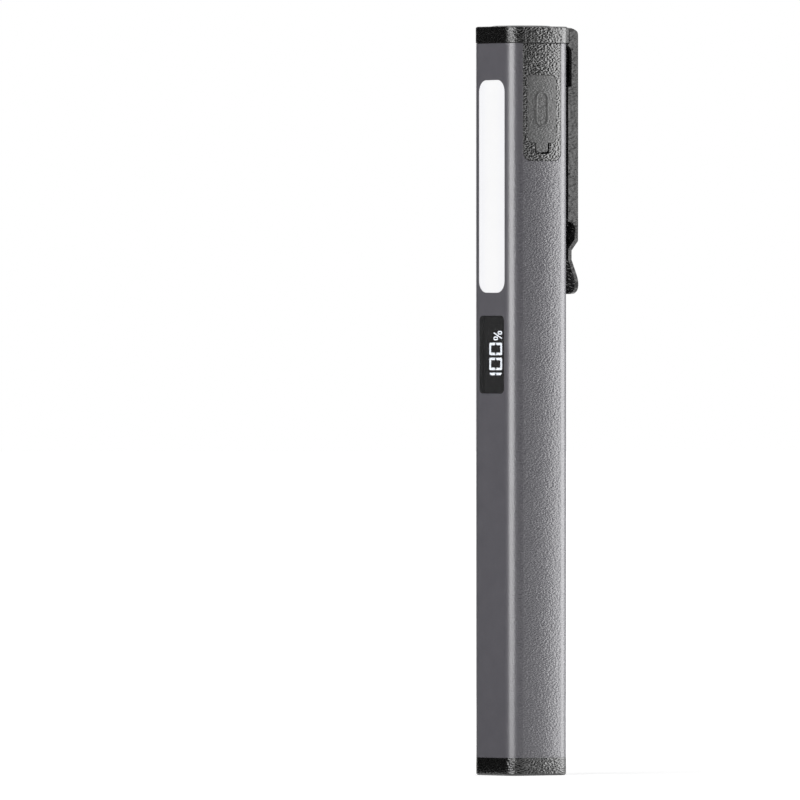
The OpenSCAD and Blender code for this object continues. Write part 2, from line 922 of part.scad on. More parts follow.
// Nickel strips: one up the cell's front from below and over to its lead, one on its top
module battery_tabs() {
    back = -cell_d / 2 - seat_gap;
    front = back - nickel_t;
    foot = cell_base - seat_gap;
    top = cell_top + nickel_rise;
    half = nickel_w / 2;
    turn = 1.2;
    color([0.78, 0.78, 0.76]) {
        union() {
            box([-half, front, foot - nickel_t], [half, half, foot]);
            box([-half, front, foot - nickel_t], [half, back, top]);
            box([-lead_x - lead_d, front, top - nickel_t], [half, back + turn, top]);
            box([-lead_x - lead_d, front, top - nickel_t], [lead_d - lead_x, lead_y, top]);
        }
        box([lead_d - half, -half, cell_top + seat_gap],
            [lead_x + lead_d, lead_y, cell_top + seat_gap + nickel_t]);
    }
}

module battery_leads() {
    lead_top = main_base + 3;
    plus_base = cell_top + nickel_t + 2 * seat_gap;
    minus_base = cell_top + nickel_rise + seat_gap;
    color([0.7, 0.1, 0.1])
        translate([lead_x, lead_y, plus_base])
            cylinder(d = lead_d, h = lead_top - plus_base);
    color([0.1, 0.1, 0.1])
        translate([-lead_x, lead_y, minus_base])
            cylinder(d = lead_d, h = lead_top - minus_base);
}

// Trough that fills the back half of the tube and holds the cell between two end walls
module battery_cradle() {
    front = -1;
    windows = 3;
    pitch = cell_len / windows;
    window_len = 0.55 * pitch;
    window_half = 2;
    lead_hole = lead_d + 5 * slide_gap;
    color([0.2, 0.2, 0.21])
        difference() {
            intersection() {
                upright(plug_w, plug_d, plug_r, cradle_base, cradle_top);
                box([-half_w, front, cradle_base], [half_w, half_d, cradle_top]);
            }
            translate([0, 0, cradle_base + cradle_end])
                cylinder(d = cell_d + 2 * slide_gap, h = cradle_top - cradle_base - 2 * cradle_end);
            for (side = [-1, 1])
                translate([side * lead_x, lead_y, cradle_top - cradle_end - cut])
                    cylinder(d = lead_hole, h = cradle_end + 2 * cut);
            for (i = [0:windows - 1])
                box([-window_half, 0, cell_base + (i + 0.5) * pitch - window_len / 2],
                    [window_half, half_d, cell_base + (i + 0.5) * pitch + window_len / 2]);
        }
}

// Tail end

module tail_cap() {
    pocket_d = magnet_d + slide_gap;
    color([0.1, 0.1, 0.1])
        difference() {
            union() {
                translate([0, 0, tail_h])
                    mirror([0, 0, 1])
                        crowned_block(tube_w, tube_d, corner_r, tail_h, tail_edge_r);
                upright(plug_w, plug_d, plug_r, tail_h - cut, tail_plug_top);
            }
            translate([0, 0, skin])
                cylinder(d = pocket_d, h = tail_plug_top);
            difference() {
                upright(tube_w, tube_d, corner_r, seal_z, seal_z + seal_h + 2 * seat_gap);
                upright(plug_w - 2 * seal_groove, plug_d - 2 * seal_groove, plug_r,
                    seal_z - cut, seal_z + seal_h + cut);
            }
        }
}

module tail_seal() {
    fit = 0.02;
    foot = seal_z + seat_gap;
    color([0.06, 0.06, 0.06])
        difference() {
            upright(in_w - 2 * fit, in_d - 2 * fit, inner_r, foot, foot + seal_h);
            upright(plug_w - 2 * seal_groove + 2 * fit, plug_d - 2 * seal_groove + 2 * fit,
                plug_r + fit, foot - cut, foot + seal_h + cut);
        }
}

module tail_magnet() {
    color([0.75, 0.75, 0.76])
        translate([0, 0, skin])
            cylinder(d = magnet_d, h = magnet_t);
}

// Clip

// The clip seen from its side, with Y across and Z up, as far down as the scoops
module clip_side() {
    upper = half_d + upper_gap;
    lower = half_d + lower_gap;
    nib = half_d + clip_nib;
    difference() {
        union() {
            translate([nib, scoop_z])
                square([clip_out - nib, clip_top - clip_top_r - scoop_z]);
            translate([nib, scoop_z])
                square([clip_out - clip_top_r - nib, clip_top - scoop_z]);
            translate([clip_out - clip_top_r, clip_top - clip_top_r])
                circle(clip_top_r);
        }
        translate([0, scoop_z])
            square([nib, clip_top - scoop_z]);
        translate([nib - cut, head_base - slide_gap])
            square([root_front - nib + cut, clip_top - head_base + cut]);
        translate([upper - clip_fillet_r, clip_fillet_z])
            circle(clip_fillet_r);
        translate([nib - cut, flange_step_z])
            square([upper - nib + cut, clip_fillet_z - flange_step_z]);
        translate([nib - cut, scoop_z - cut])
            square([lower - nib + cut, flange_step_z - scoop_z + 2 * cut]);
        translate([lower, scoop_z])
            circle(clip_in - lower);
    }
}

// The space inside the fold, seen from the side
module clip_hollow_side() {
    r = clip_top_r - clip_t;
    top = clip_top - clip_t;
    translate([half_d - cut, scoop_z - cut])
        square([clip_in - half_d + cut, top - r - scoop_z + cut]);
    translate([half_d - cut, scoop_z])
        square([clip_in - r - half_d + cut, top - scoop_z]);
    translate([clip_in - r, top - r])
        circle(r);
}

// The clip seen from behind: full width at the flanges, narrower at the tongue
module clip_back() {
    taper = 2.2;
    translate([-clip_w / 2, scoop_z + taper])
        square([clip_w, clip_top - clip_edge_r - scoop_z - taper]);
    translate([-clip_w / 2 + clip_edge_r, scoop_z + taper])
        square([clip_w - 2 * clip_edge_r, clip_top - scoop_z - taper]);
    for (side = [-1, 1])
        translate([side * (clip_w / 2 - clip_edge_r), clip_top - clip_edge_r])
            circle(clip_edge_r);
    polygon([[-tongue_w / 2, scoop_z - cut], [tongue_w / 2, scoop_z - cut],
        [clip_w / 2, scoop_z + taper + seat_gap], [-clip_w / 2, scoop_z + taper + seat_gap]]);
    translate([-tongue_w / 2, clip_base + tongue_r])
        square([tongue_w, scoop_z - clip_base - tongue_r]);
    translate([-tongue_w / 2 + tongue_r, clip_base])
        square([tongue_w - 2 * tongue_r, tongue_r + cut]);
    for (side = [-1, 1])
        translate([side * (tongue_w / 2 - tongue_r), clip_base + tongue_r])
            circle(tongue_r);
}

// Middle line of the bent tongue, from the web down to the flared tip
function tongue_path() =
    let (
        nose = half_d + nose_gap + clip_t / 2,
        web = clip_out - clip_t / 2,
        slope = tan(tongue_flare),
        lean = clip_t / 2 * tan(tongue_flare / 2),
        tip = clip_base - 1
    )
    [[web, scoop_z + 2], [web, bend_z + lean], [nose, nose_z], [nose, flare_z],
        [nose + (flare_z - tip) * slope, tip]];

// Strip of the clip's thickness along a path, with round joints
module bent_strip(path, t) {
    for (i = [0:len(path) - 2]) {
        run = path[i + 1] - path[i];
        translate(path[i])
            rotate(atan2(run[1], run[0]))
                translate([0, -t / 2])
                    square([norm(run), t]);
    }
    for (i = [1:len(path) - 2])
        translate(path[i])
            circle(d = t);
}

module clip() {
    color([0.16, 0.16, 0.16])
        difference() {
            intersection() {
                union() {
                    translate([-clip_w / 2, 0, 0])
                        rotate([90, 0, 90])
                            linear_extrude(clip_w)
                                clip_side();
                    translate([-clip_w / 2, 0, 0])
                        rotate([90, 0, 90])
                            linear_extrude(clip_w)
                                bent_strip(tongue_path(), clip_t);
                }
                translate([0, clip_out + clip_stand, 0])
                    rotate([90, 0, 0])
                        linear_extrude(clip_out)
                            clip_back();
                union() {
                    translate([0, 0, scoop_z])
                        linear_extrude(clip_top - scoop_z)
                            clip_fold();
                    box([-tongue_w / 2, half_d, clip_base - cut],
                        [tongue_w / 2, clip_out + clip_stand, scoop_z + 0.01]);
                }
            }
            translate([-clip_w / 2 + clip_t, 0, 0])
                rotate([90, 0, 90])
                    linear_extrude(clip_w - 2 * clip_t)
                        clip_hollow_side();
            for (x = [-screw_x, screw_x]) {
                bar_y(screw_d + screw_sink, x, screw_z, clip_in - cut, clip_out + cut);
                translate([x, clip_out + seat_gap, screw_z])
                    rotate([90, 0, 0])
                        cylinder(d1 = screw_head_d + screw_sink, d2 = screw_d + screw_sink,
                            h = screw_head_t + seat_gap);
            }
        }
}

// Section of the fold: its outer corners are bent round, its mouth faces the tube
module clip_fold() {
    flat = clip_w - 2 * clip_edge_r;
    translate([-clip_w / 2, 0])
        square([clip_w, clip_out - clip_edge_r]);
    translate([-flat / 2, 0])
        square([flat, clip_out]);
    for (side = [-1, 1])
        translate([side * flat / 2, clip_out - clip_edge_r])
            circle(clip_edge_r);
}

// Countersunk screws through the clip's web into the head cap's boss
module clip_screws() {
    recess_t = 0.5;
    color([0.3, 0.3, 0.31])
        for (x = [-screw_x, screw_x])
            difference() {
                union() {
                    bar_y(screw_d, x, screw_z, half_d + 2 * slide_gap, clip_out - screw_head_t / 2);
                    translate([x, clip_out, screw_z])
                        rotate([90, 0, 0])
                            cylinder(d1 = screw_head_d, d2 = screw_d, h = screw_head_t);
                }
                cross_recess(screw_head_d, x, screw_z, clip_out - recess_t, clip_out + cut);
            }
}

body_tube();
head_cap();
head_gasket();
torch_ring();
torch_lens();
torch_led();
torch_board();
torch_leads();
flood_lens();
flood_frame();
flood_strip();
flood_board();
flood_pins();
heat_spreader();
display_window();
display_block();
display_digits();
circuit_board();
board_components();
board_screws();
board_carrier();
port_panel();
port_cover();
cover_anchor();
socket_shell();
socket_insulator();
switch_panel();
power_button();
switch_body();
switch_plunger();
battery_cell();
battery_tabs();
battery_leads();
battery_cradle();
tail_cap();
tail_seal();
tail_magnet();
clip();
clip_screws();
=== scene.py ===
import json
import math

import bmesh
import bpy
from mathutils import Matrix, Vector


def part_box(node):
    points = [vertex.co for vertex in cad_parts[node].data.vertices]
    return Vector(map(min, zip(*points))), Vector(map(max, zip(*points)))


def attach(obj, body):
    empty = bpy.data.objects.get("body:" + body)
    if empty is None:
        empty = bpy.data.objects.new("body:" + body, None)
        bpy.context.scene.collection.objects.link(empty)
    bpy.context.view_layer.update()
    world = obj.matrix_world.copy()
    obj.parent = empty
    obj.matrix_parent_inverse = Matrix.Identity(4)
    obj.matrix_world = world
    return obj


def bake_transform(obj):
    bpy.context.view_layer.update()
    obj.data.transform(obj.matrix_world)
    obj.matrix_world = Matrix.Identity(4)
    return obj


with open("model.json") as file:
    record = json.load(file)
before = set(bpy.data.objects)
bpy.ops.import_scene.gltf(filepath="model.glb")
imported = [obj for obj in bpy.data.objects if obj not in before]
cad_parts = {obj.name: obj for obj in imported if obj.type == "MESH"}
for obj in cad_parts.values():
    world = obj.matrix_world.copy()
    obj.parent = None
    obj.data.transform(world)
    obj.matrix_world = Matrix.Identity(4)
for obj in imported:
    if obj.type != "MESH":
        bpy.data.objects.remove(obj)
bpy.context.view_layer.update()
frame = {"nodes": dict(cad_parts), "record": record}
cad = frame["nodes"]
MM = 0.001


# ---- Materials: every finish is built from noise in the object's own place ----

# How a pattern is scaled along X, Y and Z; below 1 it is drawn out along that axis
EVEN = (1, 1, 1)
SHORT = (1, 1, 2)
ALONG_Z = (1, 1, 0.05)
ALONG_X = (0.06, 1, 1)
# The part of a noise's range that carries most of its contrast
NOISE_LOW, NOISE_HIGH = 0.3, 0.7
# How far a face looks sideways where its grain starts, and where it is at its deepest
SIDE_STARTS, SIDE_FULL = 0.6, 0.98
BEVEL_SAMPLES = 4
PLASTIC_IOR = 1.49


def new_look(name):
    """An empty principled material: its tree, its shader and the object's own coordinates."""
    mat = bpy.data.materials.new(name)
    mat.use_nodes = True
    tree = mat.node_tree
    place = tree.nodes.new("ShaderNodeTexCoord").outputs["Object"]
    return mat, tree, tree.nodes["Principled BSDF"], place


def linked(tree, shader, **outputs):
    """Links outputs to the shader's sockets; _ stands for a space in a socket's name."""
    for socket, output in outputs.items():
        tree.links.new(output, shader.inputs[socket.replace("_", " ")])


def fixed(shader, **values):
    """Sets constants on the shader's own sockets, named as in linked()."""
    for socket, value in values.items():
        shader.inputs[socket.replace("_", " ")].default_value = value


def grey(tone):
    """A neutral colour."""
    return (tone, tone, tone)


def math_node(tree, operation, *values):
    """The result of a math node that other nodes' outputs feed."""
    node = tree.nodes.new("ShaderNodeMath")
    node.operation = operation
    for value, socket in zip(values, node.inputs):
        tree.links.new(value, socket)
    return node.outputs["Value"]


def size_of_x(tree, vector):
    """How far a vector reaches to the left or the right."""
    apart = tree.nodes.new("ShaderNodeSeparateXYZ")
    tree.links.new(vector, apart.inputs["Vector"])
    return math_node(tree, "ABSOLUTE", apart.outputs["X"])


def stretched(tree, place, stretch):
    """The coordinates with each axis scaled, so that a pattern runs along one of them."""
    if stretch == EVEN:
        return place
    mapping = tree.nodes.new("ShaderNodeMapping")
    mapping.inputs["Scale"].default_value = stretch
    tree.links.new(place, mapping.inputs["Vector"])
    return mapping.outputs["Vector"]


def noise(tree, place, size, detail=3.0, rough=0.55, stretch=EVEN):
    """Noise whose grains are about size metres across."""
    tex = tree.nodes.new("ShaderNodeTexNoise")
    tex.inputs["Scale"].default_value = 0.5 / size
    tex.inputs["Detail"].default_value = detail
    tex.inputs["Roughness"].default_value = rough
    tree.links.new(stretched(tree, place, stretch), tex.inputs["Vector"])
    return tex.outputs["Fac"]


def grain(tree, place, size, stretch=EVEN):
    """Plain grains of one size, as a spark-eroded mould leaves them."""
    return noise(tree, place, size, 0, 0.5, stretch)


def cells(tree, place, size, stretch=EVEN):
    """Rounded cells about size metres across."""
    tex = tree.nodes.new("ShaderNodeTexVoronoi")
    tex.feature = "SMOOTH_F1"
    tex.inputs["Scale"].default_value = 1 / size
    tree.links.new(stretched(tree, place, stretch), tex.inputs["Vector"])
    return tex.outputs["Distance"]


def mixed(tree, factor, low, high):
    """Two colours mixed by a factor; low may be another node's output instead."""
    mix = tree.nodes.new("ShaderNodeMix")
    mix.data_type = "RGBA"
    tree.links.new(factor, mix.inputs["Factor"])
    if isinstance(low, tuple):
        mix.inputs["A"].default_value = (*low, 1)
    else:
        tree.links.new(low, mix.inputs["A"])
    mix.inputs["B"].default_value = (*high, 1)
    return mix.outputs["Result"]


def between(tree, factor, low, high, start=NOISE_LOW, end=NOISE_HIGH):
    """A factor from start to end carried over to a value from low to high."""
    node = tree.nodes.new("ShaderNodeMapRange")
    tree.links.new(factor, node.inputs["Value"])
    node.inputs["From Min"].default_value = start
    node.inputs["From Max"].default_value = end
    node.inputs["To Min"].default_value = low
    node.inputs["To Max"].default_value = high
    return node.outputs["Result"]


def tint(tree, place, size, low, high):
    """Two colours that drift into each other over about size metres."""
    return mixed(tree, noise(tree, place, size), low, high)


def drift(tree, place, size, low, high):
    """A value that drifts between low and high over about size metres."""
    return between(tree, noise(tree, place, size), low, high)


def sideways(tree, front, side):
    """A factor: front where a face looks forwards or back, side where it looks left or right."""
    looks_to = tree.nodes.new("ShaderNodeTexCoord").outputs["Normal"]
    return between(tree, size_of_x(tree, looks_to), front, side, SIDE_STARTS, SIDE_FULL)


def bumped(tree, heights, edge, strength=None):
    """Bump layers one on another, over edges rounded by edge metres."""
    normal = None
    if edge:
        bevel = tree.nodes.new("ShaderNodeBevel")
        bevel.samples = BEVEL_SAMPLES
        bevel.inputs["Radius"].default_value = edge
        normal = bevel.outputs["Normal"]
    for height, depth in heights:
        bump = tree.nodes.new("ShaderNodeBump")
        bump.inputs["Strength"].default_value = 1
        if strength:
            tree.links.new(strength, bump.inputs["Strength"])
        bump.inputs["Distance"].default_value = depth
        tree.links.new(height, bump.inputs["Height"])
        if normal:
            tree.links.new(normal, bump.inputs["Normal"])
        normal = bump.outputs["Normal"]
    return normal


def surface(name, tones, rough, grains, tone_size, metallic=0.0, spec=0.5, coat=0.0,
            coat_rough=0.1, edge=0.0, tone_stretch=EVEN, front=1, **extra):
    """A finish: two tones that drift into each other, roughness between two values,
    and grains given as (kind, size, depth, stretch) for the bump; front is the share
    of the grain left on faces that look forwards or back."""
    mat, tree, shader, place = new_look(name)
    patches = noise(tree, place, tone_size, 4, 0.6, tone_stretch)
    wear = noise(tree, place, 0.4 * tone_size, 5, 0.6, tone_stretch)
    linked(tree, shader,
           Base_Color=mixed(tree, between(tree, patches, 0, 1), *tones),
           Roughness=between(tree, wear, *rough))
    fixed(shader, Metallic=metallic, Specular_IOR_Level=spec, Coat_Weight=coat,
          Coat_Roughness=coat_rough, **extra)
    kinds = {"noise": noise, "grain": grain, "cells": cells}
    heights = [(kinds[kind](tree, place, size, stretch=stretch), depth)
               for kind, size, depth, stretch in grains]
    linked(tree, shader, Normal=bumped(tree, heights, edge,
                                       None if front == 1 else sideways(tree, front, 1)))
    return mat


# Finish of each of the record's slots: the material's name, two tones, roughness, grains
looks = {
    "tube_grey": surface(
        "anodised_grey", [(0.103, 0.1, 0.113), (0.117, 0.114, 0.127)], (0.28, 0.3),
        [("grain", 0.25 * MM, 0.07 * MM, SHORT)],
        tone_size=2 * MM, edge=0.08 * MM, front=0.12, IOR=1.7),
    "cap_black": surface(
        "moulded_black", [grey(0.003), grey(0.008)], (0.15, 0.35),
        [("grain", 0.28 * MM, 0.12 * MM, SHORT)],
        tone_size=0.5 * MM, spec=1.0, edge=0.15 * MM),
    "clip_black": surface(
        "powder_coat_black", [grey(0.001), grey(0.035)], (0.1, 0.25),
        [("grain", 0.45 * MM, 0.3 * MM, SHORT)],
        tone_size=0.4 * MM, spec=0.25, edge=0.12 * MM),
    "cover_grey": surface(
        "silky_rubber", [grey(0.06), grey(0.1)], (0.32, 0.42),
        [("grain", 0.24 * MM, 0.1 * MM, SHORT)],
        tone_size=0.3 * MM, spec=0.55, edge=0.2 * MM, Sheen_Weight=0.1),
    "button_grey": surface(
        "button_rubber", [(0.03, 0.03, 0.031), (0.045, 0.045, 0.046)], (0.5, 0.65),
        [("noise", 0.2 * MM, 0.02 * MM, EVEN)], tone_size=1.5 * MM, edge=0.15 * MM),
    "seal_black": surface(
        "seal_rubber", [grey(0.006), grey(0.012)], (0.6, 0.75),
        [("noise", 0.1 * MM, 0.01 * MM, EVEN)], tone_size=1 * MM),
    "ring_black": surface(
        "satin_black_ring", [(0.012, 0.012, 0.013), (0.02, 0.02, 0.021)], (0.25, 0.34),
        [("noise", 0.12 * MM, 0.006 * MM, EVEN)], tone_size=2 * MM, metallic=0.5,
        edge=0.08 * MM),
    "inner_grey": surface(
        "moulded_grey", [(0.05, 0.05, 0.053), (0.07, 0.07, 0.073)], (0.42, 0.55),
        [("noise", 0.25 * MM, 0.02 * MM, EVEN)], tone_size=3 * MM, edge=0.1 * MM),
    "display_black": surface(
        "display_black", [(0.006, 0.006, 0.007), (0.01, 0.01, 0.011)], (0.34, 0.4),
        [("noise", 0.2 * MM, 0.0008 * MM, EVEN)], tone_size=2 * MM),
    "chip_black": surface(
        "moulded_chip", [(0.01, 0.01, 0.011), (0.022, 0.022, 0.023)], (0.45, 0.6),
        [("noise", 0.08 * MM, 0.01 * MM, EVEN)], tone_size=0.8 * MM, edge=0.05 * MM),
    "frame_white": surface(
        "moulded_white", [(0.82, 0.82, 0.8), (0.88, 0.88, 0.87)], (0.45, 0.55),
        [("noise", 0.2 * MM, 0.01 * MM, EVEN)], tone_size=3 * MM, edge=0.08 * MM),
    "plunger_white": surface(
        "plunger_white", [(0.72, 0.71, 0.67), (0.8, 0.79, 0.75)], (0.35, 0.45),
        [("noise", 0.1 * MM, 0.005 * MM, EVEN)], tone_size=1 * MM, edge=0.06 * MM),
    "bare_aluminium": surface(
        "mill_aluminium", [(0.72, 0.73, 0.74), (0.82, 0.82, 0.83)], (0.22, 0.38),
        [("noise", 0.06 * MM, 0.006 * MM, ALONG_Z)], tone_size=1 * MM, metallic=1.0,
        edge=0.06 * MM, tone_stretch=ALONG_Z),
    "screw_steel": surface(
        "zinc_steel", [(0.36, 0.36, 0.38), (0.48, 0.48, 0.5)], (0.25, 0.4),
        [("noise", 0.08 * MM, 0.006 * MM, EVEN)], tone_size=0.6 * MM, metallic=1.0,
        edge=0.06 * MM),
    "socket_steel": surface(
        "drawn_nickel", [(0.5, 0.5, 0.52), (0.62, 0.62, 0.64)], (0.25, 0.38),
        [("noise", 0.05 * MM, 0.004 * MM, ALONG_X)], tone_size=0.6 * MM, metallic=1.0,
        edge=0.04 * MM, tone_stretch=(0.1, 1, 1)),
    "nickel": surface(
        "rolled_nickel", [(0.6, 0.59, 0.56), (0.72, 0.71, 0.68)], (0.22, 0.36),
        [("noise", 0.05 * MM, 0.004 * MM, ALONG_Z)], tone_size=0.8 * MM, metallic=1.0,
        edge=0.04 * MM, tone_stretch=ALONG_Z),
    "magnet_grey": surface(
        "plated_magnet", [(0.62, 0.62, 0.63), (0.72, 0.72, 0.73)], (0.1, 0.2),
        [("noise", 0.3 * MM, 0.004 * MM, EVEN)], tone_size=2 * MM, metallic=1.0,
        edge=0.1 * MM),
    "pin_gold": surface(
        "gold_flash", [(0.78, 0.56, 0.2), (0.88, 0.68, 0.3)], (0.18, 0.3),
        [("noise", 0.05 * MM, 0.003 * MM, EVEN)], tone_size=0.4 * MM, metallic=1.0,
        edge=0.04 * MM),
    "lead_red": surface(
        "red_sleeving", [(0.42, 0.02, 0.015), (0.55, 0.035, 0.02)], (0.35, 0.5),
        [("noise", 0.15 * MM, 0.01 * MM, EVEN)], tone_size=1 * MM),
    "cell_blue": surface(
        "shrink_sleeve", [(0.02, 0.09, 0.3), (0.03, 0.12, 0.38)], (0.22, 0.34),
        [("noise", 1.2 * MM, 0.03 * MM, (1, 1, 0.3))], tone_size=4 * MM,
        coat=0.4, coat_rough=0.15, edge=0.15 * MM),
    "board_white": surface(
        "white_solder_mask", [(0.78, 0.78, 0.76), (0.86, 0.86, 0.85)], (0.3, 0.4),
        [("noise", 0.15 * MM, 0.006 * MM, EVEN)], tone_size=2 * MM, edge=0.05 * MM),
    "led_yellow": surface(
        "phosphor", [(0.75, 0.55, 0.09), (0.85, 0.66, 0.16)], (0.4, 0.55),
        [("cells", 0.9 * MM, 0.04 * MM, EVEN), ("noise", 0.08 * MM, 0.006 * MM, EVEN)],
        tone_size=0.8 * MM),
}

TRACKS = {"Scale": 420, "Mortar Size": 0.09, "Mortar Smooth": 0.3}
TRACKS_STRETCH = (1, 1, 0.35)


def traced_board():
    """Green solder mask with the copper tracks that show under it."""
    mat, tree, shader, place = new_look("traced_board")
    tracks = tree.nodes.new("ShaderNodeTexBrick")
    tree.links.new(stretched(tree, place, TRACKS_STRETCH), tracks.inputs["Vector"])
    for socket, value in TRACKS.items():
        tracks.inputs[socket].default_value = value
    mask = tint(tree, place, 2 * MM, (0.008, 0.06, 0.025), (0.012, 0.085, 0.035))
    linked(tree, shader,
           Base_Color=mixed(tree, tracks.outputs["Fac"], mask, (0.03, 0.17, 0.06)),
           Roughness=drift(tree, place, MM, 0.25, 0.38),
           Normal=bumped(tree, [(tracks.outputs["Fac"], 0.02 * MM)], 0.05 * MM))
    return mat


# The lens glows at full strength over the middle share of its width, and less at its sides
LENS_GLOW = 0.74
LENS_MIDDLE = 0.3
LENS_FLANGE = 0.6 * MM


def lit_lens():
    """Milky lens lit from behind, brightest down its middle."""
    mat, tree, shader, place = new_look("lit_milky_lens")
    half_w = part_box("flood_lens")[1].x - LENS_FLANGE
    dimmer = between(tree, size_of_x(tree, place), 0, 1, LENS_MIDDLE * half_w, half_w)
    linked(tree, shader,
           Base_Color=tint(tree, place, 3 * MM, grey(0.2), grey(0.24)),
           Roughness=drift(tree, place, 2 * MM, 0.3, 0.4),
           Emission_Color=mixed(tree, dimmer, (0.99, 0.99, 1.0), (0.94, 0.94, 0.98)),
           Normal=bumped(tree, [(noise(tree, place, 0.3 * MM), 0.004 * MM)], 0.1 * MM))
    fixed(shader, Emission_Strength=LENS_GLOW)
    return mat


def clear_plastic(name, tone_size, tones, rough, through, ripple, depth):
    """Clear or smoked plastic with a slight moulding ripple of a size and a depth."""
    mat, tree, shader, place = new_look(name)
    linked(tree, shader,
           Base_Color=tint(tree, place, tone_size, *tones),
           Roughness=drift(tree, place, MM, *rough),
           Normal=bumped(tree, [(noise(tree, place, ripple), depth)], 0))
    fixed(shader, Transmission_Weight=through, IOR=PLASTIC_IOR)
    return mat


DIGIT_GLOW = 14


def lit_digit():
    """Lit segment, a little uneven along its length."""
    mat, tree, shader, place = new_look("lit_segment")
    uneven = tint(tree, place, 0.6 * MM, (0.82, 0.9, 1.0), grey(1))
    linked(tree, shader, Base_Color=uneven, Emission_Color=uneven,
           Roughness=drift(tree, place, MM, 0.4, 0.5))
    fixed(shader, Emission_Strength=DIGIT_GLOW)
    return mat


looks["board_green"] = traced_board()
looks["lens_white"] = lit_lens()
looks["smoked"] = clear_plastic(
    "smoked_pane", 3 * MM, [(0.11, 0.11, 0.112), (0.125, 0.125, 0.127)], (0.03, 0.07),
    through=0.8, ripple=2 * MM, depth=0.002 * MM)
looks["clear"] = clear_plastic(
    "clear_lens", 2 * MM, [(0.95, 0.97, 0.98), (0.99, 1, 1)], (0.01, 0.04),
    through=1, ripple=1.5 * MM, depth=0.004 * MM)
looks["digit_white"] = lit_digit()

slot_of = {s["node"]: s["material_slot"] for s in frame["record"]["subparts"]}
for name, obj in cad.items():
    obj.data.materials.clear()
    obj.data.materials.append(looks[slot_of[name]])


# ---- Pieces that the solids don't have ----

def placed(name, data):
    """A new object in the scene."""
    obj = bpy.data.objects.new(name, data)
    bpy.context.scene.collection.objects.link(obj)
    return obj


def piece(name, bm, slot, body):
    """A mesh piece in a record slot's finish, riding on a body where one is given."""
    mesh = bpy.data.meshes.new(name)
    bmesh.ops.recalc_face_normals(bm, faces=bm.faces)
    bm.to_mesh(mesh)
    bm.free()
    obj = placed(name, mesh)
    mesh.materials.append(looks[slot])
    if body:
        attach(obj, body)
    return obj


def joined(bm, loops):
    """Faces from each loop of points to the next, all of the same number of points."""
    for a, b in zip(loops, loops[1:]):
        for i in range(len(a)):
            j = (i + 1) % len(a)
            bm.faces.new((a[i], a[j], b[j], b[i]))


def closed(bm, loops):
    """The same, with a face on the first and the last loop."""
    joined(bm, loops)
    bm.faces.new(loops[0])
    bm.faces.new(loops[-1])


def stadium(half_w, half_h, steps=12):
    """Points of an upright round-ended outline, anticlockwise from its right."""
    points = []
    for end in (1, -1):
        for i in range(steps + 1):
            a = math.pi * i / steps + (0 if end > 0 else math.pi)
            points.append((half_w * math.cos(a), end * (half_h - half_w) + half_w * math.sin(a)))
    return points


def middle_z(node):
    """The height of a node's middle."""
    low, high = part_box(node)
    return low.z / 2 + high.z / 2


RING_FOOT = -0.05 * MM
port_z = middle_z("socket_shell")


def raised_ring(face_x, side, half_w, half_h, width, rise):
    """A low rounded ring at the port's height, on a face that looks along X times side."""
    outer = [(0.5, RING_FOOT), (0.5, 0.4 * rise), (0.3, 0.85 * rise)]
    inner = [(-offset, height) for offset, height in reversed(outer)]
    bm = bmesh.new()
    loops = []
    for offset, height in [*outer, (0, rise), *inner]:
        outline = stadium(half_w + offset * width, half_h + offset * width)
        loops.append([bm.verts.new((face_x + side * height, y, port_z + z))
                      for y, z in outline])
    joined(bm, loops + loops[:1])
    return bm


# Raised outline of the socket behind the cover
piece("cover_mark",
      raised_ring(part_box("port_cover")[1].x, 1, half_w=1.5 * MM, half_h=3.6 * MM,
                  width=0.5 * MM, rise=0.22 * MM),
      "cover_grey", "port_cover")

# Strap that holds the cover: a flat rubber band from the anchor to the cover's back
anchor_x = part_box("cover_anchor")[1].x
strap_z = middle_z("cover_anchor")
STRAP = {"from": anchor_x - 0.4 * MM, "to": anchor_x + 0.35 * MM,
         "half_w": 1.1 * MM, "half_t": 0.3 * MM, "rounds": 14, "steps": 6}
band = bmesh.new()
bands = []
for i in range(STRAP["rounds"] + 1):
    x = STRAP["from"] + (STRAP["to"] - STRAP["from"]) * i / STRAP["rounds"]
    bands.append([band.verts.new((x, y, strap_z + z)) for z, y in
                  stadium(STRAP["half_t"], STRAP["half_w"], STRAP["steps"])])
closed(band, bands)
strap = piece("cover_strap", band, "cover_grey", None)
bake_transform(strap)

# Flat seat on the head cap's back that closes the rounded corners beside the clip's root
SEAT = {"half_w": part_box("clip")[1].x - 0.05 * MM, "bottom": 156.45 * MM,
        "top": 159.6 * MM, "front": 7.4 * MM, "back": 8.36 * MM, "slope": 0.8 * MM,
        "thin": 0.07 * MM}
seat_side = [(SEAT["front"], SEAT["bottom"]), (SEAT["back"], SEAT["bottom"]),
             (SEAT["back"], SEAT["top"] - SEAT["slope"]),
             (SEAT["back"] - SEAT["thin"], SEAT["top"]), (SEAT["front"], SEAT["top"])]
seat = bmesh.new()
closed(seat, [[seat.verts.new((side * SEAT["half_w"], y, z)) for y, z in seat_side]
              for side in (1, -1)])
piece("clip_seat", seat, "cap_black", "light")

# Gold contacts on both faces of the socket's tongue, side by side along it
CONTACTS = {"count": 6, "pitch": 1 * MM, "width": 0.5 * MM, "long": 2.6 * MM,
            "setback": 0.35 * MM, "face_y": 0.35 * MM, "proud": 0.03 * MM,
            "foot": 0.03 * MM, "chamfer": 0.06 * MM, "steps": 8}


